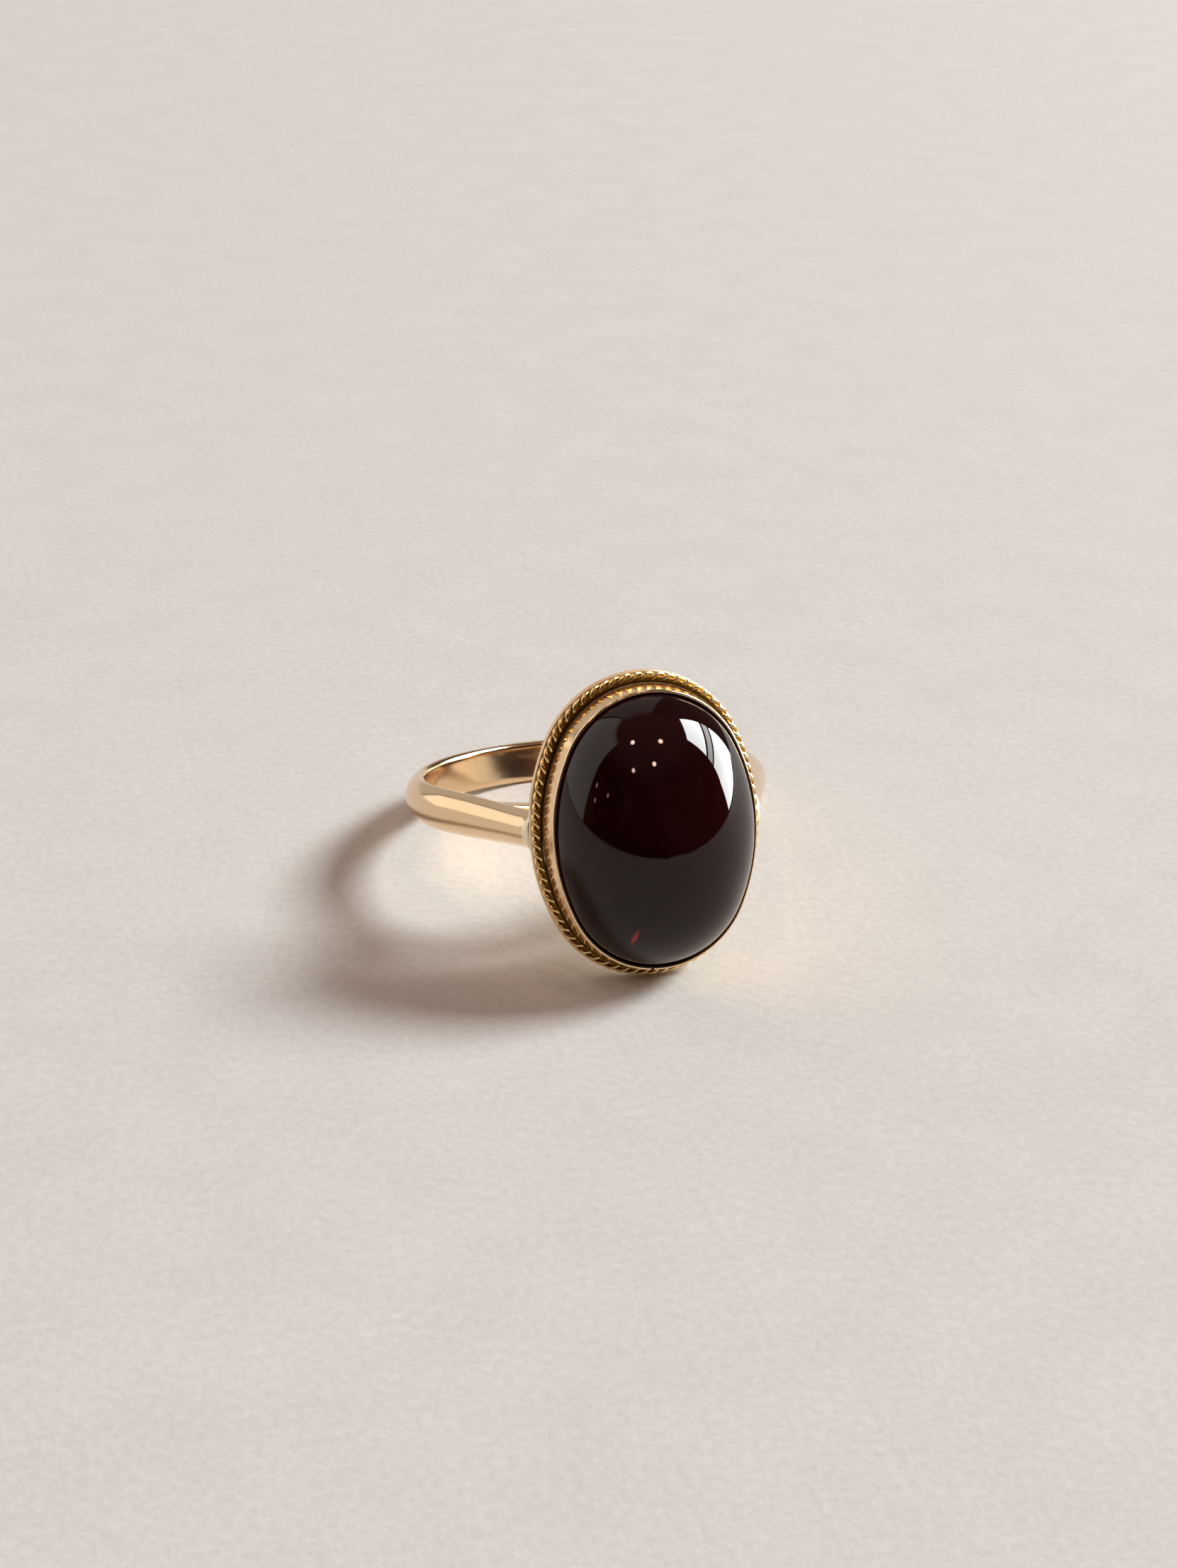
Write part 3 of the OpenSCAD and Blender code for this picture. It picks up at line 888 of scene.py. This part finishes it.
class RING_OT_stone(bpy.types.Operator):
    """Make the oval cabochon"""

    bl_idname = "ring.stone"
    bl_label = "Make Stone"

    def execute(self, context):
        stone = context.scene.ring_stone
        oval = Oval(stone)
        angles = np.linspace(0, 2 * np.pi, 193)[:-1]
        rings = [(1.0, -stone.bevel, 0.0), (1.0, -stone.bevel * 0.6, stone.girdle * 0.18),
                 (1.0, -stone.bevel * 0.25, stone.girdle * 0.45),
                 (1.0, -stone.bevel * 0.06, stone.girdle * 0.75)]
        rings += [(math.cos(t), stone.swell, stone.girdle + stone.dome * math.sin(t))
                  for t in np.radians(np.linspace(0, 88.5, 60))]
        points = []
        for share, out, height in rings:
            x, y = oval.points(angles, out)
            points.append(np.stack([share * x, share * y, np.full(len(x), height)], 1))
        points = np.concatenate(points + [[[0, 0, stone.girdle + stone.dome]]])
        points[:, 2] += stone.base_h
        sides, last = len(angles), len(points) - 1
        faces = tube_faces(len(rings), sides, False)[:-1]
        top = (len(rings) - 1) * sides
        faces += [(top + j, top + (j + 1) % sides, last) for j in range(sides)]
        piece = new_piece("garnet_dome", points, facing_out(points, faces), setting_matrix(),
                          garnet())
        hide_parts("cabochon")
        return {"FINISHED"}


class RING_OT_stage(bpy.types.Operator):
    """Set up the floor, the light and the camera"""

    bl_idname = "ring.stage"
    bl_label = "Make Stage"

    def execute(self, context):
        stage = context.scene.ring_stage
        self.floor()
        context.scene.view_settings.view_transform = "Standard"
        self.room(context.scene, stage)
        self.window(stage)
        self.camera(context.scene, stage)
        return {"FINISHED"}

    def floor(self):
        mesh = bpy.data.meshes.new("floor")
        far = 1.5
        mesh.from_pydata([(-far, -far, 0), (far, -far, 0), (far, far, 0), (-far, far, 0)], [],
                         [(0, 1, 2, 3)])
        mesh.materials.append(paper())
        floor = bpy.data.objects.new("floor", mesh)
        bpy.context.collection.objects.link(floor)

    def camera(self, scene, stage):
        a, e = stage.azimuth, stage.elevation
        back = Vector((math.sin(a) * math.cos(e), -math.cos(a) * math.cos(e), math.sin(e)))
        right = Vector((math.cos(a), math.sin(a), 0))
        up = back.cross(right)
        r = stage.roll
        right, up = math.cos(r) * right + math.sin(r) * up, math.cos(r) * up - math.sin(r) * right
        turn = Matrix((right, up, back)).transposed().to_4x4()
        data = bpy.data.cameras.new("camera")
        data.lens, data.sensor_width = stage.lens, 36
        data.clip_start, data.clip_end = 0.005, 20
        camera = bpy.data.objects.new("camera", data)
        bpy.context.collection.objects.link(camera)
        place = (Vector(stage.aim) + back * stage.distance) * MM
        camera.matrix_world = Matrix.Translation(place) @ turn
        scene.camera = camera

    def room(self, scene, stage):
        """A dim room on the camera's side, a white screen to the left and pale walls behind."""
        world = bpy.data.worlds.new("room")
        world.use_nodes = True
        scene.world = world
        n = Nodes(world.node_tree)
        shine = world.node_tree.nodes["Background"]
        look = n.add("ShaderNodeTexCoord", out="Generated")
        across, along, up = (n.add("ShaderNodeSeparateXYZ", None, {0: look}, out=axis)
                             for axis in "XYZ")
        azimuth = n.maths("ARCTAN2", across, -along) * (180 / math.pi)
        elevation = n.maths("ARCSINE", up) * (180 / math.pi)

        def span(value, low, high, soft):
            return (n.ease(value, low - soft, low + soft)
                    * n.ease(value, high - soft, high + soft, 1.0, 0.0))

        def towards(a, e):
            a, e = math.radians(a), math.radians(e)
            return (math.sin(a) * math.cos(e), -math.cos(a) * math.cos(e), math.sin(e))

        full_lamp = 250
        clutter = n.ease(n.noise(look, 2.6, 5, 0.6), 0.5, 0.72)
        colour = n.mix(clutter * 0.7, (0.022, 0.012, 0.010), (0.16, 0.085, 0.06))
        ceiling = n.ease(elevation, 40.0, 62.0)
        colour = n.mix(ceiling, colour, (0.17, 0.11, 0.09))
        shelf = span(azimuth, 119.0, 153.0, 1.5) * n.ease(elevation, 62.0, 68.0, 1.0, 0.0)
        colour = n.mix(shelf, colour, (0.07, 0.07, 0.055))
        wall = n.ease(n.maths("ABSOLUTE", azimuth), 151.5, 154.0)
        colour = n.mix(wall * n.ease(elevation, 60.0, 72.0, 1.0, 0.0), colour, (0.5, 0.48, 0.45))
        screen = span(azimuth, -150.0, -90.0, 1.2) * n.ease(elevation, 58.0, 64.0, 1.0, 0.0)
        colour = n.mix(screen, colour, (1.2, 1.15, 1.1))
        lamps = None
        # direction, height, half width in degrees, and share of the full brightness
        for a, e, width, power in ((-64, 73.6, 2.4, 1.0), (42, 73.3, 2.4, 1.0),
                                   (2, 59, 2.1, 1.0), (-36, 52.4, 2.1, 1.0),
                                   (-83, 21, 1.3, 0.7), (-66, 22.7, 1.3, 0.9),
                                   (-80, 14.7, 1.3, 0.6)):
            near = n.vector("DOT_PRODUCT", look, towards(a, e), out="Value")
            cut = math.cos(math.radians(width))
            lamp = n.ease(near, cut, cut + (1 - cut) * 0.6) * (full_lamp * power)
            lamps = lamp if lamps is None else lamps + lamp
        seen = n.add("ShaderNodeLightPath", out="Is Camera Ray")
        colour = n.mix(seen, colour, (0.66, 0.64, 0.62))
        dim = n.vector("MULTIPLY", colour, stage.room_share[:])
        colour = n.mix(n.add("ShaderNodeLightPath", out="Is Diffuse Ray"), colour, dim)
        strength = (lamps * (1 - seen) + 1) * stage.room
        world.node_tree.links.new(colour.socket, shine.inputs["Color"])
        world.node_tree.links.new(strength.socket, shine.inputs["Strength"])

    def window(self, stage):
        """A window of three panes to the right, seen in reflections, and the sky's light."""
        # direction in degrees, then distance, width, foot and top in metres
        panes = [(98.5, 1.0, 0.64, low, high, stage.window_shine * glow, False)
                 for low, high, glow in ((0.02, 0.49, 0.8), (0.53, 0.66, 0.35), (0.715, 1.4, 1.0))]
        sky = (88, 2.0, 0.8, 1.2, 2.2, stage.window_power, True)
        for direction, distance, wide, low, high, glow, lights in panes + [sky]:
            direction = math.radians(direction)
            away = Vector((math.sin(direction), -math.cos(direction), 0))
            data = bpy.data.lights.new("window", "AREA")
            data.shape, data.size, data.size_y = "RECTANGLE", wide, high - low
            data.energy = glow * wide * (high - low) * math.pi
            data.color = stage.window_tint
            lamp = bpy.data.objects.new("window", data)
            bpy.context.collection.objects.link(lamp)
            lamp.location = away * distance + Vector((0, 0, (low + high) / 2))
            lamp.rotation_euler = (-away).to_track_quat("-Z", "Y").to_euler()
            lamp.visible_diffuse, lamp.visible_glossy = lights, not lights


class RING_PT_panel(bpy.types.Panel):
    """Sidebar panel with the ring's pieces"""

    bl_idname = "RING_PT_panel"
    bl_label = "Cabochon Ring"
    bl_space_type = "VIEW_3D"
    bl_region_type = "UI"
    bl_category = "Ring"

    def draw(self, context):
        scene = context.scene
        for operator, group in (("ring.shank", scene.ring_shank), ("ring.head", scene.ring_head),
                                ("ring.wire", scene.ring_wire), ("ring.stone", scene.ring_stone),
                                ("ring.stage", scene.ring_stage), (None, scene.ring_finish)):
            box = self.layout.box()
            if operator:
                box.operator(operator)
            for name in group.__annotations__:
                box.prop(group, name)


GROUPS = {"ring_shank": RingShank, "ring_head": RingHead, "ring_wire": RingWire,
          "ring_stone": RingStone, "ring_finish": RingFinish, "ring_stage": RingStage}
CLASSES = (*GROUPS.values(), RING_OT_shank, RING_OT_head, RING_OT_wire, RING_OT_stone,
           RING_OT_stage, RING_PT_panel)


def register():
    for cls in CLASSES:
        bpy.utils.register_class(cls)
    for name, group in GROUPS.items():
        setattr(bpy.types.Scene, name, PointerProperty(type=group))


def unregister():
    for name in GROUPS:
        delattr(bpy.types.Scene, name)
    for cls in reversed(CLASSES):
        bpy.utils.unregister_class(cls)


def main():
    register()
    bpy.ops.ring.shank()
    bpy.ops.ring.head()
    bpy.ops.ring.wire()
    bpy.ops.ring.stone()
    bpy.ops.ring.stage()


if __name__ == "__main__":
    main()
